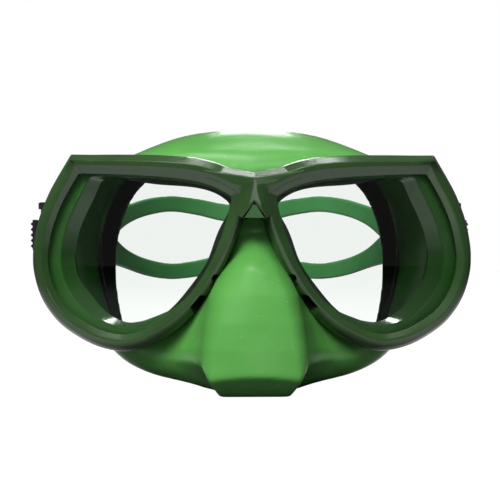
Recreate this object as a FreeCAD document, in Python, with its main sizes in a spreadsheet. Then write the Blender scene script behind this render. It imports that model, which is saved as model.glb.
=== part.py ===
import FreeCAD, Part
import math
import os
from FreeCAD import Vector

# Twin-lens diving mask.  Millimetres and degrees, +Z up, +X to the right of someone
# looking at the front, front facing -Y.  Sizes are laid out from the front face of the
# frame at the bridge (y 0) and the flat bottom of the nose pocket (z 0); every finished
# piece is then moved by middle_y so the origin sits under the middle of the mask.

DRIVING = [
    ("lens_sweep", 7),          # each lens leans back towards the temple
    ("nose_gap", 8.8),          # middle of the mask to the edge of a window
    ("window_wide", 71.4),
    ("window_tall", 62.3),
    ("window_floor", 22.3),     # height of a window's lowest point
    ("rim_side", 5.8),          # frame width around a window
    ("rim_brow", 0.8),          # extra width along the brow
    ("rear_room", 0.5),         # frame standing behind the retainer
    ("lip_depth", 2.5),         # front lip the lens sits against
    ("lens_thick", 3.5),
    ("flange_thick", 2),
    ("retainer_thick", 2.5),
    ("seat_step", 2.2),         # how far the lens seat is wider than the window
    ("slip_gap", 0.15),         # loose parts in the frame
    ("skirt_gap", 0.3),         # between the back of the frame and the skirt
    ("skirt_wall", 2),
    ("tube_inset", 2.4),        # skirt tube inside the window outline
    ("seal_top", 105.5),        # highest point of the skirt
    ("seal_half", 66),          # half width of the skirt at the temples
    ("face_radius", 97),        # curve of the face the skirt closes on
    ("face_near", 45),          # where that curve crosses the middle plane
    ("lip_width", 9),           # how far the sealing lip turns inwards
    ("nose_half", 18),          # half width of the nose pocket at its foot
    ("nose_reach", 18),         # how far the nose pocket stands proud of the frame
    ("lug_thick", 4),
    ("lug_half", 7),            # half height of the lug and radius of its round end
    ("lug_set_in", 3.5),        # lug's outer face inside the frame's edge
    ("swivel_reach", 8.6),      # post behind the frame's edge
    ("head_radius", 4),
    ("head_thick", 1.6),
    ("eye_thick", 3.5),
    ("eye_half", 6.3),
    ("buckle_reach", 16),       # post to roller
    ("bar_deep", 4),
    ("bar_thick", 5.2),
    ("cheek_thick", 2.5),
    ("knuckle_radius", 1.6),
    ("coil_thick", 0.65),
    ("coil_long", 5),
    ("strap_thick", 2.2),
    ("strap_tall", 20),         # strap height where it enters the buckles
    ("strap_back", 148.9),      # middle of the strap behind the head
    ("tail_long", 36),          # strap end past the roller
    ("split_end", 63),          # where the split closes, from the middle plane
    ("strap_toe", 13),          # angle at which the strap leaves each roller
    ("roller_radius", 2.5),
    ("running_gap", 0.3),       # between parts that move past each other
    ("post_radius", 2.5),
    ("lever_pin_radius", 0.8),
    ("roller_pin_radius", 1),
    ("bore_gap", 0.05),         # radial clearance of every turning shaft
]

DERIVED = [
    ("seat_back", "lip_depth + lens_thick"),
    ("flange_back", "seat_back + flange_thick"),
    ("ring_back", "flange_back + retainer_thick"),
    ("frame_depth", "ring_back + rear_room"),
    ("crotch_z", "window_floor + window_tall - 18.6"),  # underside of the bridge
    ("edge_x", "(nose_gap + window_wide + rim_side) * cos(lens_sweep * 1 deg)"
               " - frame_depth * sin(lens_sweep * 1 deg)"),
    ("edge_y", "(nose_gap + window_wide + rim_side) * sin(lens_sweep * 1 deg)"
               " + frame_depth * cos(lens_sweep * 1 deg)"),
    ("lug_x", "edge_x - lug_set_in"),       # outer face of the side lug
    ("swivel_y", "edge_y + swivel_reach"),
    ("swivel_z", "window_floor + window_tall * 0.62"),
    ("eye_x", "lug_x + running_gap"),       # inner face of the buckle eye
    ("roller_x", "eye_x - 1.6"),
    ("roller_y", "swivel_y + buckle_reach"),
    ("wrap_radius", "roller_radius + running_gap + strap_thick / 2"),
    ("tail_x", "roller_x + wrap_radius"),
    ("bar_y", "roller_y - wrap_radius - strap_thick / 2 - 4 * running_gap - bar_deep"),
    ("lever_x", "tail_x + strap_thick / 2 + knuckle_radius + 2 * running_gap"),
    ("lever_y", "roller_y + 1"),
    ("cheek_inner", "strap_tall / 2 + 0.75"),
    ("cheek_outer", "cheek_inner + cheek_thick"),
    ("lever_half", "strap_tall / 2 - 3.8"),
    ("front_half", "lug_x - lug_thick + 0.7"),      # skirt behind the frame
    ("front_top", "window_floor + window_tall + 0.9"),
    ("middle_y", "(nose_reach - strap_back - strap_thick / 2) / 2"),
]

# Outlines as fractions of their own width and height; the skirt's are right halves.
WINDOW = [
    (0.000, 0.835), (0.090, 0.903), (0.206, 0.941), (0.500, 0.977), (0.800, 0.996),
    (0.860, 0.925), (0.945, 0.725), (1.000, 0.477), (0.955, 0.257), (0.794, 0.070),
    (0.605, 0.000), (0.465, 0.032), (0.340, 0.112), (0.220, 0.262), (0.115, 0.440),
    (0.035, 0.670),
]
SKIRT_FRONT = [(0.00, 0.95), (0.38, 1.00), (0.74, 0.99), (0.96, 0.84), (1.00, 0.67),
               (0.96, 0.44), (0.80, 0.23), (0.56, 0.09), (0.31, 0.03), (0.00, 0.03)]
SKIRT_REAR = [(0.00, 1.22), (0.38, 1.12), (0.68, 0.94), (0.92, 0.75), (1.00, 0.55),
              (0.97, 0.34), (0.86, 0.07), (0.64, 0.00), (0.36, 0.00), (0.00, 0.00)]

doc = FreeCAD.newDocument("diving_mask")
sheet = doc.addObject("Spreadsheet::Sheet", "Sizes")
for row, (alias, value) in enumerate(DRIVING + DERIVED, start=1):
    cell = "B%d" % row
    sheet.set("A%d" % row, alias)
    sheet.setAlias(cell, alias)
    sheet.set(cell, "=" + value if isinstance(value, str) else str(value))
doc.recompute()
nodes = []


def size(alias):
    return float(sheet.get(alias))


def bind(item, **expressions):
    for name, expression in expressions.items():
        item.setExpression(name.replace("_", "."), str(expression))
    return item


def place(item, x, y, z):
    for axis, expression in zip("xyz", (x, y, z)):
        item.setExpression("Placement.Base." + axis, str(expression))
    return item


def box(name, x, y, z, length, width, height):
    item = doc.addObject("Part::Box", name)
    bind(item, Length=length, Width=width, Height=height)
    return place(item, x, y, z)


def cylinder(name, axis, radius, height, x, y, z):
    item = doc.addObject("Part::Cylinder", name)
    bind(item, Radius=radius, Height=height)
    if axis == "x":
        item.Placement.Rotation = FreeCAD.Rotation(Vector(0, 1, 0), 90)
    return place(item, x, y, z)


def cut(name, base, tool):
    item = doc.addObject("Part::Cut", name)
    item.Base = base
    item.Tool = tool
    return item


def common(name, base, tool):
    item = doc.addObject("Part::Common", name)
    item.Base = base
    item.Tool = tool
    return item


def fuse(name, *shapes):
    item = doc.addObject("Part::MultiFuse", name)
    item.Shapes = list(shapes)
    item.Refine = True
    return item


def mirror(name, source):
    item = doc.addObject("Part::Mirroring", name)
    item.Source = source
    item.Normal = Vector(1, 0, 0)
    return item


def extrude(name, base, direction, forward, backward="0"):
    item = doc.addObject("Part::Extrusion", name)
    item.Base = base
    item.DirMode = "Custom"
    item.Dir = direction
    item.Solid = True
    return bind(item, LengthFwd=forward, LengthRev=backward)


def wire(name, edges_or_points, smooth=False, closed=True):
    """A flat closed outline: straight through the points, or smooth and endless."""
    item = doc.addObject("Part::Feature", name)
    if smooth:
        curve = Part.BSplineCurve()
        curve.interpolate(edges_or_points, PeriodicFlag=True)
        item.Shape = Part.Wire([curve.toShape()])
    else:
        item.Shape = Part.makePolygon(edges_or_points + edges_or_points[:1])
    return item


def finish(label, item):
    item.Label = label
    item.setExpression("Placement.Base.y", "Sizes.middle_y")
    nodes.append(item)


def finish_pair(label, right):
    """The right piece and its mirror image on the left."""
    left = mirror(label + "_left_half", right)
    finish(label + "_left", left)
    copy = cut(label + "_right_half", right, far_away)
    finish(label + "_right", copy)


def widen(points, amounts):
    """Move a closed outline outwards, square to itself, by one amount per point."""
    moved = []
    for i, point in enumerate(points):
        before = (point - points[i - 1]).normalize()
        after = (points[(i + 1) % len(points)] - point).normalize()
        side = Vector(-before.y - after.y, before.x + after.x, 0).normalize()
        half = math.sqrt(max(0.25, (1 + before.dot(after)) / 2))
        moved.append(point + side * (amounts[i] / half))
    return moved


ANGLE = math.radians(size("lens_sweep"))
BACKWARD = Vector(-math.sin(ANGLE), math.cos(ANGLE), 0)


def lens_place(points):
    """Points (u, v) of the lens plane set into the mask."""
    return [Vector(p.x * math.cos(ANGLE), p.x * math.sin(ANGLE), p.y) for p in points]


def window_outline(name, offset, brow=0.0):
    """The window outline widened by offset, with a deeper brow along its top edge."""
    points = [Vector(size("nose_gap") + a * size("window_wide"),
                     size("window_floor") + b * size("window_tall"), 0) for a, b in WINDOW]
    amounts = [offset + (brow if b > 0.9 and a > 0.05 else 0.0) for a, b in WINDOW]
    return wire(name, lens_place(widen(points, amounts)), smooth=True)


def slab(name, offset, start, end, brow=0.0):
    """A plate with the window's outline between two depths behind the front face."""
    outline = window_outline(name + "_outline", offset, brow)
    return extrude(name, outline, BACKWARD, end, "-(%s)" % start)


far_away = box("far_away", 400, 400, 400, 1, 1, 1)
right_half = box("right_half", 0, -60, -60, 200, 300, 300)


def snap_box(name, at, length, thick, start, end):
    """A small block along the nose side of the rim, between two depths."""
    item = doc.addObject("Part::Box", name)
    bind(item, Length=length, Width=thick, Height="%s - %s" % (end, start))
    u, v, tilt = at
    corner = Vector(u * math.cos(ANGLE), u * math.sin(ANGLE), v) + BACKWARD * start
    along = Vector(math.cos(tilt) * math.cos(ANGLE), math.cos(tilt) * math.sin(ANGLE),
                   math.sin(tilt))
    across = BACKWARD.cross(along)
    item.Placement = FreeCAD.Placement(corner, FreeCAD.Rotation(along, across, BACKWARD, "XZY"))
    return item


def leg_spot(fraction_along):
    """A point and direction along the nose side of the window."""
    a, b = WINDOW[13]
    c, d = WINDOW[14]
    u = size("nose_gap") + size("window_wide") * (a + (c - a) * fraction_along)
    v = size("window_floor") + size("window_tall") * (b + (d - b) * fraction_along)
    tilt = math.atan2(size("window_tall") * (d - b), size("window_wide") * (c - a))
    return u, v, tilt


def build_frame():
    """Hard front frame: two rims, the bridge between them and a lug at each side."""
    rim = slab("rim", size("rim_side"), "0", "Sizes.frame_depth", size("rim_brow"))
    top = size("window_floor") + size("window_tall")
    bridge_points = [Vector(u, v, 0) for u, v in [
        (-3, top - 0.2), (12, top + 1.6), (13, top - 4), (7.2, top - 9), (8, top - 17),
        (9, top - 24), (5.2, top - 24), (2.6, top - 18.6), (-3, top - 18.6)]]
    bridge_outline = wire("bridge_outline", lens_place(bridge_points))
    bridge = extrude("bridge", bridge_outline, BACKWARD, "Sizes.frame_depth")
    blank = fuse("frame_blank", rim, bridge)
    doc.recompute()
    bevel = doc.addObject("Part::Chamfer", "rim_bevel")
    bevel.Base = blank
    bevel.Edges = [(i + 1, 1.6, 1.6) for i, edge in enumerate(blank.Shape.Edges)
                   if edge.Length > 150 and edge.CenterOfMass.dot(BACKWARD) < 1]
    window = slab("window_hole", 0, "-5", "Sizes.lip_depth + 1")
    seat = slab("lens_seat", size("seat_step"), "Sizes.lip_depth", "Sizes.frame_depth + 5")
    opened = cut("frame_opened", cut("frame_window", bevel, window), seat)
    start = size("flange_back")
    slot = snap_box("latch_slot", leg_spot(0.0), 7, 12, start + 0.1, start + 2.1)
    small = snap_box("latch_mark", leg_spot(0.62), 2.7, 12, start + 0.1, start + 0.9)
    slotted = cut("frame_slotted", cut("frame_slot", opened, slot), small)
    half = common("frame_half", slotted, right_half)
    inner, foot = "Sizes.lug_x - Sizes.lug_thick", "Sizes.edge_y - 0.9"
    low, tall = "Sizes.swivel_z - Sizes.lug_half", "2 * Sizes.lug_half"
    web = box("lug_web", inner, foot, low, "Sizes.lug_thick + Sizes.lug_set_in - 0.3", "2.7",
              tall)
    plate = box("lug_plate", inner, foot, low, "Sizes.lug_thick",
                "Sizes.swivel_y - Sizes.edge_y + 0.9", tall)
    ear = cylinder("lug_ear", "x", "Sizes.lug_half", "Sizes.lug_thick", inner,
                   "Sizes.swivel_y", "Sizes.swivel_z")
    hole = cylinder("lug_hole", "x", "Sizes.post_radius", "3 * Sizes.lug_thick",
                    "Sizes.lug_x - 2 * Sizes.lug_thick", "Sizes.swivel_y", "Sizes.swivel_z")
    lug = cut("lug", fuse("lug_blank", web, plate, ear), hole)
    side = fuse("frame_right", half, lug)
    whole = fuse("frame_whole", side, mirror("frame_left", side))
    recess = extrude("clip_recess", wire("recess_outline", clip_points(0.12)),
                     Vector(0, 1, 0), "3", "3")
    finish("front_frame", cut("frame_done", whole, recess))


def clip_points(gap):
    top = size("crotch_z") + 5.8
    return [Vector(-3.7 - gap, 0, top - 5 - gap), Vector(3.7 + gap, 0, top - 5 - gap),
            Vector(0.6 + gap, 0, top + gap), Vector(-0.6 - gap, 0, top + gap)]


def build_clip():
    """Small three-cornered clip let into the front of the bridge."""
    finish("bridge_clip", extrude("clip", wire("clip_outline", clip_points(0)),
                                  Vector(0, 1, 0), "2.8", "0.6"))


def build_lens():
    """Flat safety-glass lens, one each side."""
    seat = size("seat_step") - size("slip_gap")
    finish_pair("lens", slab("lens", seat, "Sizes.lip_depth", "Sizes.seat_back"))


def build_retainer():
    """Ring that presses lens and skirt flange home, with one snap tongue."""
    seat = size("seat_step") - size("slip_gap")
    blank = slab("ring_blank", seat, "Sizes.flange_back", "Sizes.ring_back")
    hole = slab("ring_hole", 0.3 - size("tube_inset"), "0", "Sizes.ring_back + 1")
    ring = cut("ring", blank, hole)
    start = size("flange_back") + 0.1 + size("slip_gap")
    tongue = snap_box("ring_tongue", leg_spot(0.03), 6.5, 4.4, start, start + 1.7)
    clear = cut("tongue_clear", tongue, slab("tongue_hole", 1, "0", "Sizes.ring_back + 1"))
    finish_pair("lens_retainer", fuse("ring_with_tongue", ring, clear))


def outline_loop(name, half, y, wide, tall, inset):
    """A mirrored half outline at one depth, pulled in by inset."""
    right = [Vector(a * wide, b * tall, 0) for a, b in half]
    left = [Vector(-p.x, p.y, 0) for p in right[-2:0:-1]]
    pulled = widen(right + left, [-inset] * (len(right) + len(left)))
    return wire(name, [Vector(p.x, y, p.y) for p in pulled])


def chamber(name, inset):
    """Skirt body between the frame and the face, as a straight-sided loft."""
    front = outline_loop(name + "_front", SKIRT_FRONT, 6, size("front_half"),
                         size("front_top"), inset)
    rear = outline_loop(name + "_rear", SKIRT_REAR, size("face_near") + 37,
                        size("seal_half") - 1, size("seal_top"), inset)
    loft = doc.addObject("Part::Loft", name)
    loft.Sections = [front, rear]
    loft.Solid = True
    loft.Ruled = True
    return loft


def behind_lenses(name, depth):
    """Block behind both lens planes, starting at the given depth."""
    reach = 130.0
    near = depth / math.cos(ANGLE)
    side = near + reach * math.tan(ANGLE)
    points = [Vector(0, near, 0), Vector(reach, side, 0), Vector(reach, 200, 0),
              Vector(-reach, 200, 0), Vector(-reach, side, 0)]
    return extrude(name, wire(name + "_plan", points), Vector(0, 0, 1), "160", "40")


def nose(name, inset):
    """Nose pocket as a stack of rounded sections, open towards the face."""
    half, reach, crotch = size("nose_half"), size("nose_reach"), size("crotch_z")
    levels = [(inset, 0.70, -reach * 0.55), (8.6, 1.00, -reach),
              (crotch * 0.52, 0.82, -reach * 0.68), (crotch * 0.70, 0.57, -reach * 0.42),
              (crotch * 0.82, 0.38, -reach * 0.15),
              (crotch * 0.94 - inset, 0.18, reach * 0.19)]
    sections = []
    for i, (z, share, front) in enumerate(levels):
        wide = half * share - inset
        near = front + inset
        points = [Vector(0, near, z), Vector(wide * 0.62, near + 1.2, z),
                  Vector(wide, near + 7, z), Vector(wide + 1, 30, z), Vector(wide + 1, 60, z),
                  Vector(-wide - 1, 60, z), Vector(-wide - 1, 30, z),
                  Vector(-wide, near + 7, z), Vector(-wide * 0.62, near + 1.2, z)]
        sections.append(wire("%s_section_%d" % (name, i), points))
    loft = doc.addObject("Part::Loft", name)
    loft.Sections = sections
    loft.Solid = True
    loft.Ruled = True
    return loft


def build_skirt():
    """Soft skirt: flanges under the lenses, one chamber, nose pocket and sealing lip."""
    wall = size("skirt_wall")
    seat = size("seat_step") - size("slip_gap")
    inset = size("tube_inset")
    back = size("frame_depth") + size("skirt_gap")
    flange = slab("flange", seat, "Sizes.seat_back", "Sizes.flange_back")
    tube_end = "Sizes.frame_depth + Sizes.skirt_gap + Sizes.skirt_wall"
    tube = slab("tube", -inset, "Sizes.seat_back", tube_end)
    eye = slab("eye_hole", -inset - wall, "0", tube_end + " + 0.2")
    outer = common("chamber_outer", chamber("outer_loft", 0),
                   behind_lenses("behind_frame", back))
    inner = common("chamber_inner", chamber("inner_loft", wall),
                   behind_lenses("behind_wall", back + wall))
    centre_y = "Sizes.face_near + Sizes.face_radius"
    face = cylinder("face", "z", "Sizes.face_radius", "200", 0, centre_y, -40)
    lip_face = cylinder("lip_face", "z", "Sizes.face_radius + Sizes.skirt_wall", "200", 0,
                        centre_y, -40)
    body = cut("skirt_body", fuse("skirt_blank", outer, nose("nose_outer", 0)), face)
    rooms = cut("skirt_rooms", fuse("rooms", inner, nose("nose_inner", wall)), lip_face)
    shell = cut("skirt_shell", body, rooms)
    face_hole = common("face_hole", chamber("hole_loft", wall + size("lip_width")),
                       behind_lenses("hole_reach", 20))
    nose_slot = box("nose_slot", -11, 20, "Sizes.skirt_wall + 5", 22, 60, 30)
    opened = cut("skirt_opened", cut("skirt_faced", shell, face_hole), nose_slot)
    right = fuse("skirt_right", common("skirt_half", opened, right_half), flange, tube)
    pierced = cut("skirt_pierced", right, eye)
    finish("skirt", fuse("skirt_done", pierced, mirror("skirt_left", pierced)))


def build_post():
    """Swivel post: shank pressed in the lug, the buckle eye turns on it under the head."""
    shank = cylinder("post_shank", "x", "Sizes.post_radius",
                     "Sizes.lug_thick + Sizes.running_gap + Sizes.eye_thick + 0.3",
                     "Sizes.lug_x - Sizes.lug_thick", "Sizes.swivel_y", "Sizes.swivel_z")
    head = cylinder("post_head", "x", "Sizes.head_radius", "Sizes.head_thick",
                    "Sizes.eye_x + Sizes.eye_thick + 0.15", "Sizes.swivel_y",
                    "Sizes.swivel_z")
    finish_pair("swivel_post", fuse("post", shank, head))


def build_buckle():
    """Buckle body: eye, crossbar and two cheeks carrying roller and lever."""
    eye = cylinder("eye", "x", "Sizes.eye_half", "Sizes.eye_thick", "Sizes.eye_x",
                   "Sizes.swivel_y", "Sizes.swivel_z")
    arm = box("arm", "Sizes.eye_x", "Sizes.swivel_y", "Sizes.swivel_z - Sizes.eye_half",
              "Sizes.eye_thick", "Sizes.bar_y + 2 - Sizes.swivel_y", "2 * Sizes.eye_half")
    bar = box("crossbar", "Sizes.eye_x", "Sizes.bar_y",
              "Sizes.swivel_z - Sizes.cheek_outer", "Sizes.bar_thick", "Sizes.bar_deep",
              "2 * Sizes.cheek_outer")
    x, y = size("roller_x"), size("roller_y")
    front, lever = size("bar_y") - y, size("lever_x") - x
    outside = size("eye_x") + size("bar_thick") - x
    inside = -size("wrap_radius") - 1.7
    profile = [(-3.5, front), (outside, front), (lever + 2, -2.4), (lever + 2, 3.2),
               (lever, 7), (lever - 1.3, 14), (-3, 14), (inside, 8), (inside, -3.5)]
    plan = wire("cheek_plan", [Vector(x + a, y + b, size("swivel_z")) for a, b in profile])
    upper = extrude("cheek_upper", plan, Vector(0, 0, 1), "Sizes.cheek_outer",
                    "-Sizes.cheek_inner")
    lower = extrude("cheek_lower", plan, Vector(0, 0, -1), "Sizes.cheek_outer",
                    "-Sizes.cheek_inner")
    body = fuse("buckle_blank", eye, arm, bar, upper, lower)
    hole = cylinder("eye_bore", "x", "Sizes.post_radius + Sizes.bore_gap",
                    "3 * Sizes.eye_thick", "Sizes.eye_x - Sizes.eye_thick", "Sizes.swivel_y",
                    "Sizes.swivel_z")
    bores = fuse("pin_bores", hole,
                 pin("roller_bore", "Sizes.roller_pin_radius", "roller", 4),
                 pin("lever_bore", "Sizes.lever_pin_radius", "lever", 4))
    finish_pair("buckle_body", cut("buckle", body, bores))


def pin(name, radius, axis, extra):
    """An upright pin through both cheeks, longer than the buckle by extra."""
    return cylinder(name, "z", radius, "2 * Sizes.cheek_outer + %s" % extra,
                    "Sizes.%s_x" % axis, "Sizes.%s_y" % axis,
                    "Sizes.swivel_z - Sizes.cheek_outer - %s / 2" % extra)


def barrel(name, radius, bore, axis, half_tall, start="0"):
    """A tube around one of the upright pins, mirrored about the buckle's mid height."""
    solid = cylinder(name, "z", radius, "2 * (%s)" % half_tall, "Sizes.%s_x" % axis,
                     "Sizes.%s_y" % axis, "Sizes.swivel_z - (%s)" % half_tall)
    core = cylinder(name + "_bore", "z", bore, "60", "Sizes.%s_x" % axis,
                    "Sizes.%s_y" % axis, "Sizes.swivel_z - 30")
    return cut(name + "_tube", solid, core)


def build_roller():
    """Roller the strap doubles round, free on its steel pin."""
    finish_pair("roller", barrel("roller", "Sizes.roller_radius",
                                 "Sizes.roller_pin_radius + Sizes.bore_gap", "roller",
                                 "Sizes.cheek_inner - Sizes.running_gap"))
    finish_pair("roller_pin", pin("roller_pin", "Sizes.roller_pin_radius", "roller", 0))


def build_lever():
    """Release lever with its toothed plate, pin and return spring."""
    inside = "Sizes.lever_pin_radius + Sizes.bore_gap"
    knuckle = barrel("knuckle", "Sizes.knuckle_radius", inside, "lever",
                     "Sizes.cheek_inner - Sizes.running_gap")
    x, y = size("lever_x"), size("lever_y")
    face = size("knuckle_radius") - 0.2
    profile = [(-face, 0.5), (face, 0), (2.2, 9), (4, 15), (4, 18), (2.8, 18), (0.6, 12),
               (-face, 7), (-face - 0.45, 5.5), (-face, 4)]
    plan = wire("lever_plan", [Vector(x + a, y + b, size("swivel_z")) for a, b in profile])
    plate = extrude("lever_plate", plan, Vector(0, 0, 1), "Sizes.lever_half",
                    "Sizes.lever_half")
    low = "Sizes.swivel_z - Sizes.coil_long / 2 - 0.5"
    tall = "Sizes.coil_long + 1"
    room = box("spring_room", "Sizes.lever_x - 2.6", "Sizes.lever_y - 3", low, "4.1", "6.2",
               tall)
    bore = cylinder("plate_bore", "z", inside, "60", "Sizes.lever_x", "Sizes.lever_y",
                    "Sizes.swivel_z - 30")
    slot = box("spring_gap", "Sizes.lever_x - 2.6", "Sizes.lever_y - 3", low, "5.2", "5.2",
               tall)
    solid = cut("lever_solid", fuse("lever_blank", knuckle, plate), slot)
    finish_pair("release_lever", cut("lever", solid, fuse("lever_tools", room, bore)))
    finish_pair("lever_pin", pin("lever_pin", "Sizes.lever_pin_radius", "lever", 0))
    coil = barrel("coil", inside + " + Sizes.coil_thick", inside, "lever",
                  "Sizes.coil_long / 2")
    foot = box("coil_foot", "Sizes.lever_x + 0.7", "Sizes.lever_y - 5",
               "Sizes.swivel_z - 0.4", "0.7", "5", "0.8")
    foot_room = cylinder("foot_room", "z", "1.1", "60", "Sizes.lever_x", "Sizes.lever_y",
                         "Sizes.swivel_z - 30")
    finish_pair("lever_spring", fuse("spring", coil, cut("spring_foot", foot, foot_room)))


def strap_plan():
    """Right half of the strap seen from above, as one flat closed outline."""
    toe = math.radians(size("strap_toe"))
    x, y, wrap = size("roller_x"), size("roller_y"), size("wrap_radius")
    back, thick = size("strap_back"), size("strap_thick")
    start = Vector(x - wrap * math.cos(toe), y - wrap * math.sin(toe), 0)
    along = Vector(-math.sin(toe), math.cos(toe), 0)
    # The straight run meets one arc centred on the middle plane at the same slope.
    run = (back - start.y - start.x * (1 - math.sin(toe)) / math.cos(toe)) / (
        math.cos(toe) - math.sin(toe) * (1 - math.sin(toe)) / math.cos(toe))
    meet = start + along * run
    radius = meet.x / math.cos(toe)
    centre = Vector(0, back - radius, 0)
    tail_end = y + size("tail_long")

    def side(shift):
        r = radius + shift
        knee = centre + Vector(r * math.cos(toe), r * math.sin(toe), 0)
        w = wrap - shift
        low = Vector(x - w * math.cos(toe), y - w * math.sin(toe), 0)
        front = Vector(x, y - w, 0)
        high = Vector(x + w, y, 0)
        crown = centre + Vector(0, r, 0)
        mid = centre + Vector(r * math.sin(0.6), r * math.cos(0.6), 0)
        end = Vector(x + w, tail_end, 0)
        return [Part.Arc(crown, mid, knee).toShape(), Part.makeLine(knee, low),
                Part.Arc(low, front, high).toShape(), Part.makeLine(high, end)]

    outer, inner = side(-thick / 2), side(thick / 2)
    caps = [Part.makeLine(outer[0].Vertexes[0].Point, inner[0].Vertexes[0].Point),
            Part.makeLine(outer[3].Vertexes[1].Point, inner[3].Vertexes[1].Point)]
    item = doc.addObject("Part::Feature", "strap_plan")
    item.Shape = Part.Wire(Part.sortEdges(outer + inner + caps)[0])
    return item


def build_strap():
    """One-piece strap, split behind the head, doubled back through both buckles."""
    band = extrude("band", strap_plan(), Vector(0, 0, 1), "Sizes.swivel_z + 30",
                   "-(Sizes.swivel_z - 30)")
    half_tall = size("strap_tall") / 2
    z = size("swivel_z")
    upper = [(-6, 17), (10, 17.6), (24, 19.8), (38, 21), (50, 18.8), (62, 14), (72, half_tall),
             (100, half_tall)]
    edge = [Vector(x, 0, z + h) for x, h in upper]
    edge += [Vector(x, 0, z - h) for x, h in reversed(upper)]
    profile = extrude("strap_profile", wire("strap_edge", edge), Vector(0, 1, 0), "200")
    end = size("split_end")
    gap = [(-6, 8), (10, 8.6), (24, 11.6), (38, 13), (end - 13, 10.4), (end - 3, 5),
           (end, 1.2)]
    hole = [Vector(x, 0, z + h) for x, h in gap] + [Vector(x, 0, z - h) for x, h in gap[::-1]]
    split = extrude("strap_split", wire("split_edge", hole), Vector(0, 1, 0), "200", "-92")
    half = cut("strap_half", common("strap_shaped", band, profile), split)
    right = common("strap_right", half, right_half)
    finish("strap", fuse("strap_whole", right, mirror("strap_left", right)))


build_frame()
build_clip()
build_lens()
build_retainer()
build_skirt()
build_post()
build_buckle()
build_roller()
build_lever()
build_strap()
doc.recompute()

for item in doc.Objects:
    if "Invalid" in item.State or "Error" in item.State:
        raise RuntimeError("%s did not build: %s" % (item.Label, item.State))
for item in nodes:
    if item.Shape.isNull() or not item.Shape.isValid() or not item.Shape.Solids:
        raise RuntimeError("%s has no sound solid" % item.Label)

os.makedirs("parts", exist_ok=True)
for item in nodes:
    item.Shape.exportStep("parts/%s.step" % item.Label)
    box_of = item.Shape.BoundBox
    print("%-22s solids %d volume %9.1f  x %.1f..%.1f y %.1f..%.1f z %.1f..%.1f" % (
        item.Label, len(item.Shape.Solids), item.Shape.Volume, box_of.XMin, box_of.XMax,
        box_of.YMin, box_of.YMax, box_of.ZMin, box_of.ZMax))
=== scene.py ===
import math
import bpy
import numpy as np
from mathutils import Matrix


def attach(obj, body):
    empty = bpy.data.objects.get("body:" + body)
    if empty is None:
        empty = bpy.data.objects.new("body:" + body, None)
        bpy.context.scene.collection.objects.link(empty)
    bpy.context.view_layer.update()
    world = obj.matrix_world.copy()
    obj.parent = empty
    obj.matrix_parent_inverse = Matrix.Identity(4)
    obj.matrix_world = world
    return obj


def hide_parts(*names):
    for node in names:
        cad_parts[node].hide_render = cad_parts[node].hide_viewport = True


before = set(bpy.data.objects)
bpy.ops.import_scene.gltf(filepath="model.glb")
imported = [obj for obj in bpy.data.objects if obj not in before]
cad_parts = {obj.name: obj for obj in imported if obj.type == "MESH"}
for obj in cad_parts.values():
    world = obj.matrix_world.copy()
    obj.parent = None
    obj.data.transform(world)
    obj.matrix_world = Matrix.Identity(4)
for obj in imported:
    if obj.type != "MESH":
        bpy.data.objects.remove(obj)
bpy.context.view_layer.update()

import openvdb
from mathutils import Vector

# Face skirt: soft green silicone, moulded in one piece with the nose pocket, a flange
# round each lens and a thin sealing lip turned in against the face.  Satin outside,
# glossier on the inner walls, with fine moulding texture and specks of dust.

# Lengths are millimetres in the mask's own frame: Y 0 at the bridge's front face, Z 0 at
# the foot of the nose pocket.  shift_y carries that frame to the model's origin.
shift_y = -66.0
sweep = math.radians(7.0)       # each lens turns back from the bridge by this angle
frame_deep = 11.0               # front frame, front to back, square to the lens
seat_out, seat_deep = 2.2, 2.5  # step round the window that the lens is seated in
swivel_y, swivel_z = 30.0, 60.93    # the line, parallel to X, that the buckles swing on
table_low, table_step = (-20, -10), 0.5     # look-up tables over the lens plane

# The lens window as seen square to the glass: its brow, and its side and nose edges.
window_top = [(-30, 62.0), (1.0, 70.2), (8.7, 74.9), (15, 78.3), (23.5, 80.9), (37, 82.6),
              (52, 83.5), (68.0, 84.1), (80, 84.6), (110, 86.0)]
window_side = [(40, 130), (63.2, 92.1), (68.0, 84.1), (71.3, 78.6), (74.4, 73.0), (77.6, 65.5),
               (79.5, 58), (80.2, 52), (79.6, 45.8), (77, 38.3), (72, 31.5), (65.5, 26.8),
               (59, 23.7), (52, 22.3), (46.8, 22.9), (42, 24.7), (33.6, 29.6), (24.5, 38.5),
               (17.6, 49), (13.2, 59), (10.6, 67), (8.7, 74.9), (4, 95)]


def curve_through(points, steps, closed=False):
    """Catmull-Rom curve through the points."""
    p = np.array(points, float)
    n = len(p)
    rows = []
    for i in range(n if closed else n - 1):
        a, b, c, d = (p[(i + k) % n] if closed else p[min(max(i + k, 0), n - 1)]
                      for k in (-1, 0, 1, 2))
        for t in np.arange(steps) / steps:
            rows.append(0.5 * (2 * b + (c - a) * t + (2 * a - 5 * b + 4 * c - d) * t * t
                               + (3 * b - a - 3 * c + d) * t ** 3))
    if not closed:
        rows.append(p[-1])
    return np.array(rows)


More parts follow.
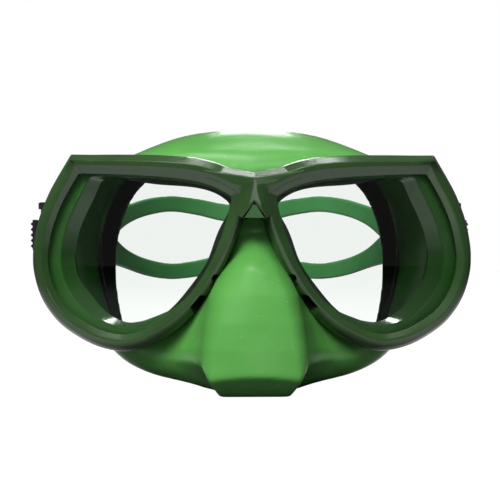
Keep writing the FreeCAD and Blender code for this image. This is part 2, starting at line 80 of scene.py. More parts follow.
def side_of(curve, x, z, closed=False):
    """Signed distance from a flat curve: positive on its left, or outside a closed one."""
    best = np.full(x.shape, 1e9)
    sign = np.ones(x.shape)
    crossings = np.zeros(x.shape, int)
    ends = np.roll(curve, -1, axis=0) if closed else curve[1:]
    for a, b in zip(curve if closed else curve[:-1], ends):
        d = b - a
        length = float(np.hypot(*d))
        if length < 1e-9:
            continue
        t = np.clip(((x - a[0]) * d[0] + (z - a[1]) * d[1]) / length ** 2, 0, 1)
        gap = np.hypot(x - a[0] - t * d[0], z - a[1] - t * d[1])
        left = d[0] * (z - a[1]) - d[1] * (x - a[0])
        closer = gap < best - 1e-9
        best = np.where(closer, gap, best)
        sign = np.where(closer, np.sign(left), sign)
        if closed and d[1]:
            ahead = x < a[0] + (z - a[1]) * d[0] / d[1]
            crossings += ((a[1] > z) != (b[1] > z)) & ahead
    if closed:
        return np.where(crossings % 2, -best, best)
    return best * sign


def smooth_max(a, b, k):
    """The larger of two fields, blended over a band k wide."""
    h = np.maximum(k - np.abs(a - b), 0) / k
    return np.maximum(a, b) + h * h * k * 0.25


def smooth_min(a, b, k):
    """The smaller of two fields, blended over a band k wide."""
    return -smooth_max(-a, -b, k)


def ease(t):
    """Smooth step from 0 to 1."""
    return t * t * (3 - 2 * t)


def table_at(table, u, v):
    """Bilinear look-up in a table over the lens plane."""
    i = np.clip((u - table_low[0]) / table_step, 0, table.shape[0] - 1.001)
    j = np.clip((v - table_low[1]) / table_step, 0, table.shape[1] - 1.001)
    i0, j0 = i.astype(int), j.astype(int)
    s, t = i - i0, j - j0
    return ((1 - s) * (1 - t) * table[i0, j0] + s * (1 - t) * table[i0 + 1, j0]
            + (1 - s) * t * table[i0, j0 + 1] + s * t * table[i0 + 1, j0 + 1])


def lens_axes(x, y):
    """Distance along a lens from the middle plane, and depth behind the frame's front."""
    return (x * math.cos(sweep) + y * math.sin(sweep),
            -x * math.sin(sweep) + y * math.cos(sweep))


def field_grid(low, high, step):
    """Coordinates of a grid of cubes between two corners."""
    axes = [np.arange(a, b + step, step) for a, b in zip(low, high)]
    return np.meshgrid(*axes, indexing="ij")


def link_mesh(name, points, faces):
    """Smooth-shaded object in the scene from points in the mask's millimetres."""
    mesh = bpy.data.meshes.new(name)
    mesh.from_pydata(((points + [0, shift_y, 0]) * 0.001).tolist(), [], faces)
    mesh.validate()
    mesh.shade_smooth()
    item = bpy.data.objects.new(name, mesh)
    bpy.context.scene.collection.objects.link(item)
    return item


def mesh_from_field(name, field, low, step, rounds=2, mirrored=True, bend=None):
    """Closed mesh where the field crosses zero, relaxed a little."""
    if mirrored:
        field = np.concatenate([field[:0:-1], field])
        low = (-(field.shape[0] // 2) * step, low[1], low[2])
    grid = openvdb.FloatGrid()
    grid.copyFromArray(np.ascontiguousarray(np.clip(field, -3 * step, 3 * step)))
    points, triangles, quads = grid.convertToPolygons(isovalue=0.0, adaptivity=0.0)
    points = points * step + np.array(low)
    edges = np.concatenate([quads[:, [0, 1]], quads[:, [1, 2]], quads[:, [2, 3]],
                            quads[:, [3, 0]], triangles[:, [0, 1]], triangles[:, [1, 2]],
                            triangles[:, [2, 0]]])
    for _ in range(rounds):
        total = np.zeros_like(points)
        count = np.zeros(len(points))
        for k in (0, 1):
            np.add.at(total, edges[:, k], points[edges[:, 1 - k]])
            np.add.at(count, edges[:, k], 1)
        points = points * 0.5 + 0.5 * total / np.maximum(count, 1)[:, None]
    if bend:
        points = bend(points)
    return link_mesh(name, points, quads.tolist() + triangles.tolist())


def shader(name, color, roughness, **inputs):
    """A Principled material with Object coordinates ready to build on."""
    material = bpy.data.materials.new(name)
    material.use_nodes = True
    nodes = material.node_tree.nodes
    surface = nodes["Principled BSDF"]
    surface.inputs["Base Color"].default_value = (*color, 1)
    surface.inputs["Roughness"].default_value = roughness
    for key, value in inputs.items():
        surface.inputs[key.replace("_", " ")].default_value = value
    place = nodes.new("ShaderNodeTexCoord")
    return material, nodes, material.node_tree.links, surface, place.outputs["Object"]


def add_noise(nodes, links, where, scale, detail=4.0):
    """Noise over the object, as a number round 0.5."""
    noise = nodes.new("ShaderNodeTexNoise")
    noise.inputs["Scale"].default_value = scale
    noise.inputs["Detail"].default_value = detail
    links.new(where, noise.inputs["Vector"])
    return noise.outputs["Fac"]


def add_ramp(nodes, links, source, low, high, dark, light):
    """The source between low and high, stretched to run from dark to light."""
    ramp = nodes.new("ShaderNodeMapRange")
    for key, value in (("From Min", low), ("From Max", high), ("To Min", dark),
                       ("To Max", light)):
        ramp.inputs[key].default_value = value
    links.new(source, ramp.inputs["Value"])
    return ramp.outputs["Result"]


def add_grain(nodes, links, where, surface, scale, strength, distance=0.0001):
    """Fine moulding texture as a bump."""
    bump = nodes.new("ShaderNodeBump")
    bump.inputs["Strength"].default_value = strength
    bump.inputs["Distance"].default_value = distance
    links.new(add_noise(nodes, links, where, scale, 2.0), bump.inputs["Height"])
    links.new(bump.outputs["Normal"], surface.inputs["Normal"])


def mix_color(nodes, links, amount, first, second):
    """Colour going from first to second; either may be a socket or three numbers."""
    mix = nodes.new("ShaderNodeMix")
    mix.data_type = "RGBA"
    links.new(amount, mix.inputs["Factor"])
    for value, socket in ((first, mix.inputs["A"]), (second, mix.inputs["B"])):
        if isinstance(value, tuple):
            socket.default_value = (*value, 1)
        else:
            links.new(value, socket)
    return mix.outputs["Result"]


def add_cloud_tint(nodes, links, cloud, first, second):
    """Colour that drifts between two tints with a slow noise."""
    return mix_color(nodes, links, add_ramp(nodes, links, cloud, 0.35, 0.65, 0.0, 1.0),
                     first, second)


def fillet(profile, arcs=3):
    """Points of a closed section with each corner rounded and held by a guard point."""
    rows = []
    for i, (offset, deep, rounding) in enumerate(profile):
        corner = np.array([offset, deep], float)
        before = np.array(profile[i - 1][:2]) - corner
        after = np.array(profile[(i + 1) % len(profile)][:2]) - corner
        reach = min(np.hypot(*before), np.hypot(*after))
        if reach < 1e-6 or not rounding:
            rows += [corner] * (arcs + 3)
            continue
        before, after = before / np.hypot(*before), after / np.hypot(*after)
        cut = min(rounding, 0.4 * reach)
        guard = min(cut + 0.2, 0.48 * reach)
        rows.append(corner + before * guard)
        for s in np.linspace(0, 1, arcs + 1):
            rows.append(corner + before * cut * (1 - s) ** 2 + after * cut * s * s)
        rows.append(corner + after * guard)
    return np.array(rows)


def outline_stations():
    """Side run and brow run of the window: points, normals, which to keep, on the brow.

    Each run goes from its third knot to the knot the two lists share at its other end, and
    leaves a stretch open at both ends for the corners.
    """
    steps, first_knot, skip = 10, 2, 3.0
    side_end = len(window_side) - 2
    top_end = window_top.index(window_side[first_knot])
    parts = []
    for curve, last, top in ((window_side, side_end, False), (window_top, top_end, True)):
        line = curve_through(curve, steps)[first_knot * steps:last * steps + 1]
        slope = np.gradient(line, axis=0)
        normal = np.stack([-slope[:, 1], slope[:, 0]], -1)
        normal /= np.hypot(*normal.T)[:, None]
        along = np.concatenate([[0], np.cumsum(np.hypot(*np.diff(line, axis=0).T))])
        keep = (along > skip) & (along < along[-1] - skip)
        parts.append((line, normal, keep, top))
    return parts


def sweep_outline(section, corner_round):
    """Rows of (u, v, depth) for a section carried once round the window."""
    side, top = outline_stations()
    rows = []
    for (line, normal, keep, brow), (next_line, next_normal, _, next_brow) in (
            (side, top), (top, side)):
        for spot, out in zip(line[keep], normal[keep]):
            outline = fillet(section(brow, spot))
            rows.append(np.column_stack([spot + outline[:, :1] * out, outline[:, 1]]))
        first = fillet(section(brow, line[-1]))
        second = fillet(section(next_brow, next_line[0]))
        n1, n2 = normal[-1], next_normal[0]
        turn = corner_round(first[:, 0])
        solve = np.linalg.inv(np.array([n1, n2]))
        middle = line[-1] + np.stack([first[:, 0] - turn, second[:, 0] - turn], -1) @ solve.T
        for s in np.linspace(0, 1, 7):
            n = n1 * (1 - s) + n2 * s
            n /= np.hypot(*n)
            deep = first[:, 1] * (1 - s) + second[:, 1] * s
            rows.append(np.column_stack([middle + turn[:, None] * n, deep]))
    return np.array(rows)


def both_sides(rows):
    """Points and quads of a swept ring and its mirror image, in millimetres."""
    x = rows[..., 0] * math.cos(sweep) - rows[..., 2] * math.sin(sweep)
    y = rows[..., 0] * math.sin(sweep) + rows[..., 2] * math.cos(sweep)
    right = np.stack([x, y, rows[..., 1]], -1)
    m, n = rows.shape[:2]
    i, j = np.meshgrid(np.arange(m), np.arange(n), indexing="ij")
    k, l = (i + 1) % m, (j + 1) % n
    quads = np.stack([i * n + j, k * n + j, k * n + l, i * n + l], -1).reshape(-1, 4)
    points = np.concatenate([right.reshape(-1, 3), (right * [-1, 1, 1]).reshape(-1, 3)])
    return points, np.concatenate([quads, quads[:, ::-1] + m * n])


def add_mesh(name, points, faces):
    """Mesh of a closed sweep, turned so that its faces look outwards."""
    a, b, c = (points[faces[:, k]] for k in range(3))
    if np.einsum("ij,ij->i", a, np.cross(b, c)).sum() < 0:
        faces = faces[:, ::-1]
    return link_mesh(name, points, faces.tolist())


u, v = np.meshgrid(np.arange(table_low[0], 111, table_step),
                   np.arange(table_low[1], 126, table_step), indexing="ij")
top_table = side_of(curve_through(window_top, 8), u, v)
side_table = side_of(curve_through(window_side, 8), u, v)

# Cross-sections of the skirt's chamber at its front and rear, as shares of the largest half
# width and of the height, and the opening for the face.
skirt_half, skirt_tall, wall = 66, 105.5, 2.0
chamber_front, chamber_deep = 6, 76
head_radius, head_y = 97, 142       # the sealing lip lies on this upright cylinder
skirt_front = [(0.00, 0.78), (0.45, 0.80), (0.86, 0.80), (1.12, 0.68), (1.17, 0.54),
               (1.10, 0.36), (0.86, 0.17), (0.65, 0.067), (0.34, 0.015), (0.00, 0.0)]
skirt_rear = [(0.00, 1.21), (0.38, 1.135), (0.68, 0.955), (0.92, 0.76), (1.00, 0.55),
              (0.97, 0.34), (0.85, 0.10), (0.64, 0.04), (0.36, 0.02), (0.00, 0.0)]
face_hole = [(0, 96), (24, 94), (42, 85), (51, 76), (57, 60), (58, 42), (55, 24),
             (49, 13), (38, 8), (24, 8), (14, 18), (7, 32), (0, 36)]


def loop_of(half):
    """Right half of an outline closed with its mirror image."""
    right = [tuple(p) for p in half]
    return right + [(-x, z) for x, z in right[-2:0:-1]]


def point_values(item, name, values):
    """One number per vertex for the material to read."""
    item.data.attributes.new(name, "FLOAT", "POINT").data.foreach_set("value", values)


face_outline = curve_through(loop_of(face_hole), 5, closed=True)

step = 0.9
low = (0, -22, -3)
x, y, z = field_grid(low, (86, 84, 110), step)
lens_u, depth = lens_axes(x, y)
top_out = table_at(top_table, lens_u, z)
side_out = table_at(side_table, lens_u, z)
outside = smooth_max(top_out, side_out, 3.0)

chamber = np.empty(x.shape)
for i in range(x.shape[1]):
    t = (y[0, i, 0] - chamber_front) / chamber_deep
    rise = t * (1 + 1.1 * (0.51 - t))
    half = [((a * (1 - t) + c * t) * skirt_half, (b * (1 - rise) + d * rise) * skirt_tall)
            for (a, b), (c, d) in zip(skirt_front, skirt_rear)]
    outline = curve_through(loop_of(half), 5, closed=True)
    chamber[:, i, :] = side_of(outline, x[:, i, :], z[:, i, :], closed=True)
chamber = smooth_max(chamber, 11.6 - depth, 9.0)

# Nose pocket: half width and front by height, with a flat foot and sides cut to a slope.
levels = np.array([-5, 0, 8.6, 18, 27.7, 37.5, 47, 54, 60, 66, 120])
half_wide = np.interp(z, levels, [18.6, 18.5, 18.2, 17.3, 15.4, 12.9, 9.0, 6.0, 3.6, 2, 1])
reach = np.interp(z, levels, [-18.4, -18.4, -18, -16.2, -13.5, -9.6, -3.8, 4, 12, 21, 60])
across = np.abs(x) / half_wide
nose = reach + 2.6 * np.minimum(across, 1.3) ** 2 + 6 * np.maximum(across - 0.86, 0) ** 1.2 - y
nose = nose / np.sqrt(1 + (np.gradient(nose, step, axis=0)) ** 2
                      + (np.gradient(nose, step, axis=2)) ** 2)
flare = np.clip((z - 6) / 20, 0, 1) * np.clip((y + 14) * 0.16, 0, 2.5)
nose = smooth_max(nose, (np.abs(x) - half_wide - 1.6 - flare) * 0.95, 4.0)
nose = smooth_max(nose, (-(y + 18) * 8.6 - (z - 8.6) * 9.5) / 12.8, 0.9)
nose = smooth_max(nose, ((np.abs(x) - 18.5) * 8.6 - (z - 8.6) * 5.5) / 10.2, 1.6)
nose = smooth_max(nose, -z, 1.2)
nose = smooth_max(nose, (z - 64) + np.maximum(y, 0) * 0.6, 3.0)
nose = np.maximum(nose, y - 60)
spread = 6 + 22 * np.clip((46 - z) / 30, 0, 1) * np.clip((z + 3) / 15, 0.2, 1)
body = np.maximum(smooth_min(chamber, nose, spread), 0.2 - z)

# Outer shape and flange, less the rooms for the face, the eyes and the nose.
face = head_radius - np.hypot(x, y - head_y)
hole = side_of(face_outline, x[:, 0, :], z[:, 0, :], closed=True)[:, None, :] + 0 * y
flange = np.maximum(outside - seat_out, np.maximum(9.5 - depth, depth - 14))
solid = smooth_min(smooth_max(body, face, 3.5), flange, 1.0)
thin = wall - 0.3 * np.clip((face + 10) / 10, 0, 1)
rooms = smooth_max(body + wall, face + thin, 3.0)
eye = np.maximum(outside - 0.4, np.maximum(-depth, depth - 17))
rooms = smooth_min(rooms, eye, 2.0)
rooms = np.minimum(rooms, np.maximum(hole, -face - 7))
field = smooth_max(solid, -rooms, 0.7)
skirt = mesh_from_field("skirt_soft", field, low, step, rounds=2)


def tunnel_section(brow, spot):
    """Flange and lens tunnel: wide at the temple and along the bottom."""
    temple = ease(np.clip((spot[0] - 50) / 24, 0, 1))
    low_edge = ease(np.clip((46 - spot[1]) / 18, 0, 1) * np.clip((spot[0] - 14) / 38, 0, 1))
    inset = 0.15 + (0.5 if brow else max(3.7 * temple, 2.7 * low_edge))
    far = inset + (0.6 if brow else 3.2 * temple + 0.8 * low_edge)
    lens_back, flange_back, rear = 6.05, 8, 16
    return [(2.0, lens_back, 0.1), (-inset, lens_back, 0.7), (-far, rear, 0.2),
            (1.6 - far, rear, 0.2), (1.8 - inset, flange_back, 0.3), (2.0, flange_back, 0.1)]


points, faces = both_sides(sweep_outline(
    tunnel_section, lambda o: 0.4 + 2.2 * np.clip(1 - np.maximum(o, 0) / 3, 0, 1)))
tunnels = add_mesh("skirt_tunnels", points, faces)

# Painted shade: the turned-in lip is painted nearly black on the side that faces the lenses,
# standing in for the shade deep in the chamber; the silicone is green there too.
points = np.empty(len(skirt.data.vertices) * 3)
skirt.data.vertices.foreach_get("co", points)
points = points.reshape(-1, 3) * 1000 - np.array([0, shift_y, 0])
normals = np.empty(len(skirt.data.vertices) * 3)
skirt.data.vertices.foreach_get("normal", normals)
facing = np.clip(-normals.reshape(-1, 3)[:, 1] * 4 - 0.6, 0, 1)
inward = side_of(face_outline, points[:, 0], points[:, 2], closed=True)
lip = facing * np.clip((9 - inward) / 1.5, 0, 1) * np.clip((points[:, 1] - 44) / 3, 0, 1)
lip = lip * np.clip((np.abs(points[:, 0]) - 30) / 10, 0, 1)
point_values(skirt, "lip_painted_shade", lip)

# The inner walls are glossier: "within" is 1 below the outer skin and 0 on it.
points[:, 0] = np.abs(points[:, 0])
spots = np.rint((points - low) / step).astype(int)
spots = np.clip(spots, 0, np.array(body.shape) - 1)
within = np.clip(-body[spots[:, 0], spots[:, 1], spots[:, 2]] - 0.7, 0, 1)
point_values(skirt, "within", within)
tunnel_size = len(tunnels.data.vertices)
point_values(tunnels, "lip_painted_shade", np.zeros(tunnel_size, np.float32))
point_values(tunnels, "within", np.ones(tunnel_size, np.float32))

material, nodes, links, surface, where = shader(
    "silicone_green", (0.085, 0.3, 0.06), 0.34, Specular_IOR_Level=0.25,
    Subsurface_Weight=0.08, Subsurface_Scale=0.004)
cloud = add_noise(nodes, links, where, 45)
dust = add_noise(nodes, links, where, 900, 1.0)
specks = add_ramp(nodes, links, dust, 0.765, 0.78, 0.0, 0.3)
tint = add_cloud_tint(nodes, links, cloud, (0.076, 0.28, 0.053), (0.092, 0.315, 0.066))
tint = mix_color(nodes, links, specks, tint, (0.55, 0.62, 0.5))
# Painted shade: this attribute takes the lip's side that faces the lenses to near black.
shade = nodes.new("ShaderNodeAttribute")
shade.attribute_name = "lip_painted_shade"
links.new(mix_color(nodes, links, shade.outputs["Fac"], tint, (0.004, 0.006, 0.004)),
          surface.inputs["Base Color"])
shiny = nodes.new("ShaderNodeAttribute")
shiny.attribute_name = "within"
gloss = nodes.new("ShaderNodeMix")
links.new(shiny.outputs["Fac"], gloss.inputs["Factor"])
links.new(add_ramp(nodes, links, cloud, 0.3, 0.7, 0.2, 0.28), gloss.inputs["A"])
gloss.inputs["B"].default_value = 0.13
links.new(gloss.outputs["Result"], surface.inputs["Roughness"])
add_grain(nodes, links, where, surface, 2600, 0.12, 0.0002)
for item in (skirt, tunnels):
    item.data.materials.append(material)
    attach(item, "mask")
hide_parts("skirt")

# Front frame: hard satin plastic in dark olive green, injection moulded.  Two rims with
# a sloped brow and mitred corners meet in a faceted bridge; lugs at the back of each
# side carry the buckles.

leg_across, leg_up = 0.690, 0.724       # direction of the nose leg in the lens plane
# Snap slots on the leg: middle, half length of the cut, half length of the painted shade
# inside it.
snap_slots = ((9.9, 3.4, 3.5), (20.3, 1.35, 1.5))
slot_mouth, slot_floor = 1.2, 5.0


def rim_profile(top, spot, slot):
    """Closed rim section (offset from the window, depth, rounding) at one place."""
    if top:
        far = np.clip((spot[0] - 26) / 42, 0, 1)
        crease, flat = (4.0 - 0.9 * far, 0.0), (6.0 - 1.2 * far, 0.0)
        bevel, back = (8.7 - 1.5 * far, 4.4), 9.0 - 1.5 * far
        soft = (0.25, 0.3, 0.4)
    else:
        leg = ease(np.clip((34 - spot[0]) / 16, 0, 1))
        upper = np.clip((spot[1] - 48) / 24, 0, 1)
        crease = (2.4 + leg * (0.3 + 1.3 * upper), 0.35 * (1 - leg))
        flat = (4.9 - 0.4 * leg, 0.95 - 0.15 * leg)
        crest = 0.5 * np.clip((spot[1] - 52) / 24, 0, 1) * (1 - leg)
        bevel = (6.5 - 1.1 * leg + crest, 3.6 - 1.4 * leg)
        back = 6.8 - 1.2 * leg + crest
        soft = (0.3 + 0.3 * (1 - leg), 0.3 + 1.5 * (1 - leg), 0.5 + 1.6 * (1 - leg))
    window = [(0, seat_deep, 0.05), (0, 2.0, 0.2), (*crease, soft[0])]
    seat = [(back, frame_deep, 0.4), (seat_out, frame_deep, 0.2), (seat_out, seat_deep, 0.1)]
    if slot:
        lip = 0.5 * (crease[0] + flat[0])
        front = [(lip, 0.5 * flat[1], 0.1), (lip, slot_mouth, 0), (lip - 0.2, slot_floor, 0),
                 (back, slot_floor, 0)]
    else:
        # The doubled point gives both kinds of section the same count.
        shoulder = (back, 5.2, 0)
        front = [(*flat, soft[1]), (*bevel, soft[2]), shoulder, shoulder]
    return window + front + seat


def in_slot(u, v, painted_shade=False):
    """True beside the long or the short snap slot, measured along the nose leg."""
    along = v * leg_up - u * leg_across
    return np.logical_or.reduce([np.abs(along - middle) < (dark if painted_shade else cut)
                                 for middle, cut, dark in snap_slots])


def rim_section(brow, spot):
    """Rim section at one place, cut through where a snap slot is."""
    on_leg = not brow and spot[0] < 40 and spot[1] < 60
    return rim_profile(brow, spot, on_leg and in_slot(*spot))


points, faces = both_sides(sweep_outline(
    rim_section, lambda o: 0.4 + 1.6 * np.clip(1 - np.maximum(o, 0) / 2.5, 0, 1)))
rims = add_mesh("frame_rims", points, faces)
# The slots' walls and floor get a near-black material: painted shade in the recess, where the
# frame's plastic is olive too.
middles = points[faces].mean(axis=1)
face_u, face_deep = lens_axes(np.abs(middles[:, 0]), middles[:, 1])
recess = in_slot(face_u, middles[:, 2], painted_shade=True)
recess &= (face_u < 40) & (middles[:, 2] < 60) & (face_deep > 0.8) & (face_deep < 5.2)
recess &= table_at(side_table, face_u, middles[:, 2]) > 3.1
rims.data.polygons.foreach_set("material_index", recess.astype(np.int32))

# Bridge: a ridged front face and a sloped crown, with the clip's pocket cut into it.
step = 0.4
low = (0, -3, 62)
x, y, z = field_grid(low, (20, 12, 90), step)
lens_u, depth = lens_axes(x, y)
outside = np.maximum(table_at(top_table, lens_u, z), table_at(side_table, lens_u, z))
ridge = np.clip((81.4 - z) / 15, 0, 1)
slope = 0.12 + 0.26 * np.clip((79.5 - z) / 3, 0, 1)
middle = -0.2 - 1.5 * ridge + np.maximum(x - 3.9 * ridge, 0) * slope - y
crown = (z - 81.8 - 0.16 * x - (depth + 0.2) * 0.62) * 0.85
crotch = np.maximum(65.6 - z + 0.05 * x * x, (66.6 - (x - 2.6) * 1.75 - z) * 0.5)
reach = x - 10.2 - np.maximum(z - 75, 0) * 1.2
block = smooth_max(np.maximum(middle, crown), np.maximum(crotch, reach), 0.4)
block = np.maximum.reduce([block, z - 84.6 - 0.16 * x, depth - frame_deep + 0.1,
                           seat_out + 0.1 - outside,
                           (1.9 - 0.5 * outside - depth) * 0.9])
apex = np.maximum((z - 72.4) * 0.6 + (x - 0.2) * 0.8, 66.5 - z)
block = np.maximum(block, -np.maximum(apex - 0.1, y - 1.6))
bridge = mesh_from_field("frame_bridge", block, low, step, rounds=1)

# Lugs: a round ear bored for the swivel post, joined to the rim by a web.
lug_x, lug_half, bore = 78.5, 7, 2.5
step = 0.5
low = (70, 14, 50)
x, y, z = field_grid(low, (88, 40, 72), step)
from_axis = np.hypot(y - swivel_y, z - swivel_z)
band = np.abs(z - swivel_z) - lug_half
lug = np.maximum(np.abs(x - lug_x) - 2.0, 19.5 - y)
ear = np.minimum(from_axis - lug_half, np.maximum(band, y - swivel_y))
lug = smooth_max(lug, ear, 0.8)
web = np.maximum.reduce([np.abs(x - 80.2) - 3.6, np.abs(y - 21.7) - 1.5, band])
lug = smooth_min(lug, web, 1.0)
lug = np.maximum(lug, bore - from_axis)


def pair_from_field(name, field, low, step):
    """The same small moulding for the right and, mirrored, for the left."""
    items = []
    for side in ("right", "left"):
        item = mesh_from_field(name + side, field, low, step, rounds=1, mirrored=False)
        if side == "left":
            for vertex in item.data.vertices:
                vertex.co.x = -vertex.co.x
            item.data.flip_normals()
        items.append(item)
    return items


lugs = pair_from_field("frame_lug_", lug, low, step)

material, nodes, links, surface, where = shader(
    "frame_olive", (0.024, 0.06, 0.018), 0.2, Specular_IOR_Level=0.5, Coat_Weight=0.15,
    Coat_Roughness=0.12)
cloud = add_noise(nodes, links, where, 60)
links.new(add_cloud_tint(nodes, links, cloud, (0.021, 0.055, 0.015), (0.027, 0.066, 0.02)),
          surface.inputs["Base Color"])
links.new(add_ramp(nodes, links, cloud, 0.3, 0.7, 0.17, 0.24), surface.inputs["Roughness"])
add_grain(nodes, links, where, surface, 5200, 0.06)
for item in (rims, bridge, *lugs):
    item.data.materials.append(material)
    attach(item, "mask")
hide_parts("front_frame")
# Painted shade: the snap slots' walls and floor are near black.
rims.data.materials.append(shader("slot_painted_shade", (0.004, 0.007, 0.003), 0.6)[0])

# Bridge clip: a separate three-cornered moulding pushed into the middle of the bridge,
# slightly greener than the frame round it.


def soften(item, width, segments=2):
    """Rounded edges on a machined or moulded piece."""
    for polygon in item.data.polygons:
        polygon.use_smooth = False
    bevel = item.modifiers.new("edges", "BEVEL")
    bevel.width = width
    bevel.segments = segments
    bevel.limit_method = "ANGLE"
    bevel.angle_limit = math.radians(35)
    bevel.harden_normals = True
    item.data.shade_smooth()


def dress(node, material, width=0.0):
    """Give a node of the frame its material and, where it has a width, rounded edges."""
    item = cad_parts[node]
    item.data.materials.clear()
    item.data.materials.append(material)
    if width:
        soften(item, width)
    return item


clip_material, nodes, links, surface, where = shader("clip_green", (0.04, 0.11, 0.04), 0.38)
add_grain(nodes, links, where, surface, 4000, 0.06)
dress("bridge_clip", clip_material, 0.0004)

# Lenses: flat tempered glass, cut to the window's shape and polished.  Clear, with a
# very faint green tint, and only as bright in reflection as bare glass is.
glass, nodes, links, surface, where = shader("lens_clear", (1, 1, 1), 0.0)
clear = nodes.new("ShaderNodeBsdfTransparent")
clear.inputs["Color"].default_value = (0.955, 0.975, 0.96, 1)
shine = nodes.new("ShaderNodeBsdfGlossy")
shine.inputs["Roughness"].default_value = 0.015
glance = nodes.new("ShaderNodeFresnel")
glance.inputs["IOR"].default_value = 1.45
blend = nodes.new("ShaderNodeMixShader")
links.new(glance.outputs["Fac"], blend.inputs["Fac"])
links.new(clear.outputs["BSDF"], blend.inputs[1])
links.new(shine.outputs["BSDF"], blend.inputs[2])
links.new(blend.outputs["Shader"], nodes["Material Output"].inputs["Surface"])
nodes.remove(surface)
for side in ("left", "right"):
    dress("lens_" + side, glass)

# Lens retainers: dark green rings moulded in matt plastic, snapped in behind the
# skirt's flanges to hold the lenses.
ring_material, nodes, links, surface, where = shader("ring_dark", (0.03, 0.06, 0.03), 0.5)
add_grain(nodes, links, where, surface, 3000, 0.08)
for side in ("left", "right"):
    dress("lens_retainer_" + side, ring_material)

# Buckles: black moulded bodies, rollers and toothed release levers, lightly scuffed, on
# stainless pins and springs with a brushed finish.
black, nodes, links, surface, where = shader("buckle_black", (0.012, 0.012, 0.013), 0.42)
scuff = add_noise(nodes, links, where, 220)
links.new(add_ramp(nodes, links, scuff, 0.35, 0.65, 0.34, 0.5), surface.inputs["Roughness"])
add_grain(nodes, links, where, surface, 3500, 0.1)
steel, nodes, links, surface, where = shader(
    "pin_steel", (0.62, 0.62, 0.64), 0.22, Metallic=1.0)
brushed = add_noise(nodes, links, where, 1800)
links.new(add_ramp(nodes, links, brushed, 0.3, 0.7, 0.16, 0.3), surface.inputs["Roughness"])
for side in ("left", "right"):
    dress("swivel_post_" + side, black, 0.0005)
    dress("buckle_body_" + side, black, 0.0006)
    dress("roller_" + side, black, 0.0003)
    dress("release_lever_" + side, black, 0.0005)
    for pin in ("roller_pin_", "lever_pin_", "lever_spring_"):
        dress(pin + side, steel)

# Thumb pads: black plastic moulded on the outside of each release lever, ribbed for grip
# and worked by a fingertip.
rib_pitch = 2.3
step = 0.3
low = (88, 44, 53)
x, y, z = field_grid(low, (94.5, 60, 69), step)
ridges = 0.45 * np.cos((z - swivel_z) * math.tau / rib_pitch)
pad = np.maximum.reduce([x - 91.8 - ridges, 89.4 - x, np.abs(z - swivel_z) - 6.4,
                         46.0 - y + (x - 90) * 0.3, y - 57.5 + (x - 89.4) * 1.4])
for side, item in zip(("right", "left"), pair_from_field("lever_pad_", pad, low, step)):
    item.data.materials.append(black)
    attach(item, "release_lever_" + side)

# Strap: one silicone band, deeper green than the skirt, split in two behind the head and
# doubled back round the buckle rollers, with a ribbed tail to grip the lever's tooth.
toe = math.radians(13)      # the band leans in from each roller towards the head
roller = np.array([79.218, 45.999])
wrap = 3.9                  # roller's middle to the band's middle
back = 148.9
half_thick = 1.1
tail = 36.0
start = roller - wrap * np.array([math.cos(toe), math.sin(toe)])
heading = np.array([-math.sin(toe), math.cos(toe)])
tangent = (1 - math.sin(toe)) / math.cos(toe)
run = (back - start[1] - start[0] * tangent) / (math.cos(toe) - math.sin(toe) * tangent)
meet = start + heading * run
radius = meet[0] / math.cos(toe)
centre_y = back - radius
arc = radius * (math.pi / 2 - toe)
turn = wrap * (math.pi + toe)
half_length = arc + run + turn + tail


def strap_point(s):
    """Place and outward direction at distance s along the strap from the back."""
    s = np.abs(s)
    a = s / radius
    point = np.stack([radius * np.sin(a), centre_y + radius * np.cos(a)], -1)
    out = np.stack([np.sin(a), np.cos(a)], -1)
    straight = s > arc
    t = (s - arc)[straight]
    point[straight] = meet - heading * t[:, None]
    out[straight] = (math.cos(toe), math.sin(toe))
    bent = s > arc + run
    b = math.pi + toe + (s - arc - run)[bent] / wrap
    ring = np.stack([np.cos(b), np.sin(b)], -1)
    point[bent] = roller + wrap * ring
    out[bent] = -ring
    last = s > arc + run + turn
    t = (s - arc - run - turn)[last]
    point[last] = np.stack([np.full(t.shape, roller[0] + wrap), roller[1] + t], -1)
    out[last] = (-1.0, 0.0)
    return point, out


def strap_bend(points):
    """Wrap a flat strap (distance along, outward, height) round the head and rollers."""
    s = points[:, 0]
    place, out = strap_point(s)
    sign = np.where(s < 0, -1.0, 1.0)
    flat = place + out * points[:, 1:2]
    return np.stack([flat[:, 0] * sign, flat[:, 1], points[:, 2] + swivel_z], -1)


step = 0.55
low = (0, -1.65, -23.1)
s, t, h = field_grid(low, (half_length + 3, 1.7, 23.1), step)
stations = np.linspace(0, half_length + 10, 400)
places, _ = strap_point(stations)
edge_x = np.interp(s, stations, np.where(stations < arc + run, places[:, 0], 90))
# Half height of the strap, and of the split in it, by distance from the middle plane.
upper = curve_through([(-12, 17.7), (0, 17), (12, 17.7), (25, 20), (38, 21), (50, 18.8),
                       (62, 13.6), (72, 10), (86, 10), (110, 10)], 8)
inner = curve_through([(-12, 8.7), (0, 8), (12, 8.7), (25, 11.6), (38, 13), (50, 10.4),
                       (58, 6), (63, 0), (66, -6)], 8)
tall = np.interp(edge_x, *upper.T)
gap = np.interp(edge_x, *inner.T)
tall = tall - 4.5 * np.clip((s - half_length + 7) / 7, 0, 1) ** 2
flat = smooth_max(np.abs(h) - tall, gap - np.abs(h), 1.5)
flat = np.maximum(flat, s - half_length)
ribs = 0.28 * np.clip(np.sin((s - half_length) * math.pi / 1.7), -0.2, 1)
ribs = ribs * np.clip((s - arc - run - turn - 1) / 2, 0, 1)
ribs = ribs * np.clip(8.6 - np.abs(h), 0, 1)
skin = np.abs(t) - half_thick + np.where(t < 0, ribs, 0)
field = smooth_max(flat, skin, 0.9)
strap = mesh_from_field("strap_soft", field, low, step, rounds=2, bend=strap_bend)

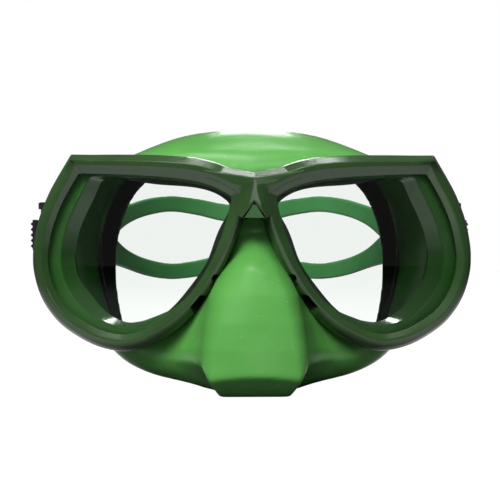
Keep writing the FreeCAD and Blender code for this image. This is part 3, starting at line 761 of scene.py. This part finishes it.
material, nodes, links, surface, where = shader(
    "silicone_deep", (0.05, 0.2, 0.06), 0.34, Specular_IOR_Level=0.4)
cloud = add_noise(nodes, links, where, 38)
links.new(add_cloud_tint(nodes, links, cloud, (0.042, 0.19, 0.055), (0.06, 0.235, 0.075)),
          surface.inputs["Base Color"])
links.new(add_ramp(nodes, links, cloud, 0.3, 0.7, 0.28, 0.42), surface.inputs["Roughness"])
add_grain(nodes, links, where, surface, 2400, 0.12, 0.0002)
strap.data.materials.append(material)
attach(strap, "strap_loop")
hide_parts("strap")

# Studio: a white floor and backdrop.  Two broad soft boxes do most of the lighting and
# stay out of reflections; five small ones, and a ring of glowing floor round the mask that
# only reflections see, draw the highlights.


def add_math(nodes, links, operation, first, second):
    """Two sockets joined by a Math node."""
    node = nodes.new("ShaderNodeMath")
    node.operation = operation
    links.new(first, node.inputs[0])
    links.new(second, node.inputs[1])
    return node.outputs["Value"]


white, nodes, links, surface, where = shader("studio_white", (0.12, 0.12, 0.12), 0.9)
surface.inputs["Specular IOR Level"].default_value = 0.0
rays = nodes.new("ShaderNodeLightPath")
distance = nodes.new("ShaderNodeVectorMath")
distance.operation = "DISTANCE"
distance.inputs[1].default_value = (0, -0.07, 0)
links.new(where, distance.inputs[0])
away = distance.outputs["Value"]
glow = add_math(nodes, links, "MULTIPLY", add_ramp(nodes, links, away, 0.05, 0.085, 0.0, 1.0),
                add_ramp(nodes, links, away, 0.1, 0.28, 1.0, 0.0))
reflected = add_math(nodes, links, "MULTIPLY", rays.outputs["Is Glossy Ray"], glow)
bright = add_math(nodes, links, "MAXIMUM", rays.outputs["Is Camera Ray"], reflected)
links.new(bright, surface.inputs["Emission Strength"])
surface.inputs["Emission Color"].default_value = (1, 1, 1, 1)
mesh = bpy.data.meshes.new("floor")
mesh.from_pydata([(-3, -3, 0), (3, -3, 0), (3, 3, 0), (-3, 3, 0)], [], [(0, 1, 2, 3)])
floor = bpy.data.objects.new("floor", mesh)
bpy.context.scene.collection.objects.link(floor)
floor.data.materials.append(white)

world = bpy.data.worlds.new("studio")
bpy.context.scene.world = world
world.use_nodes = True
sky = world.node_tree.nodes["Background"]
sky.inputs["Color"].default_value = (1, 1, 1, 1)
sky.inputs["Strength"].default_value = 0.1
rays = world.node_tree.nodes.new("ShaderNodeLightPath")
backdrop = world.node_tree.nodes.new("ShaderNodeBackground")
seen = world.node_tree.nodes.new("ShaderNodeMixShader")
output = world.node_tree.nodes["World Output"]
world.node_tree.links.new(rays.outputs["Is Camera Ray"], seen.inputs["Fac"])
world.node_tree.links.new(sky.outputs["Background"], seen.inputs[1])
world.node_tree.links.new(backdrop.outputs["Background"], seen.inputs[2])
world.node_tree.links.new(seen.outputs["Shader"], output.inputs["Surface"])
backdrop.inputs["Color"].default_value = (1, 1, 1, 1)


def soft_box(name, place, target, size, power, mirrored=True):
    """Area light aimed at a target; reflections see it only when mirrored is true."""
    light = bpy.data.lights.new(name, "AREA")
    light.shape = "RECTANGLE"
    light.size, light.size_y = size
    light.energy = power
    item = bpy.data.objects.new(name, light)
    item.location = place
    item.visible_glossy = mirrored
    item.rotation_euler = (Vector(target) - Vector(place)).to_track_quat("-Z", "Y").to_euler()
    bpy.context.scene.collection.objects.link(item)


soft_box("key", (-0.35, -0.6, 0.75), (0, -0.05, 0.04), (0.6, 0.4), 9, False)
soft_box("behind", (0.03, 0.7, 0.5), (0, -0.02, 0.1), (0.12, 0.07), 0.9)
soft_box("streak", (0.05, 0.36, 0.75), (0, -0.05, 0.08), (0.14, 0.02), 0.22)
soft_box("overhead", (-0.05, -0.05, 0.8), (0, -0.05, 0.08), (0.2, 0.14), 0.9)
soft_box("rim_strip", (0, -0.36, 0.85), (0, -0.05, 0.04), (0.5, 0.12), 1.2)
soft_box("front_fill", (-0.3, -1.0, 0.9), (0, -0.05, 0.04), (0.9, 0.6), 8, False)
soft_box("bridge_fill", (0.15, -1.3, 0.42), (0, -0.05, 0.06), (0.4, 0.16), 0.6)

view = bpy.data.cameras.new("front")
view.lens = 76.4
view.sensor_width = 36
camera = bpy.data.objects.new("front", view)
camera.location = (-0.01297, -0.466, 0.05465)
camera.rotation_euler = (math.radians(90), 0, math.radians(-1.62))
bpy.context.scene.collection.objects.link(camera)
bpy.context.scene.camera = camera
bpy.context.scene.view_settings.view_transform = "Standard"
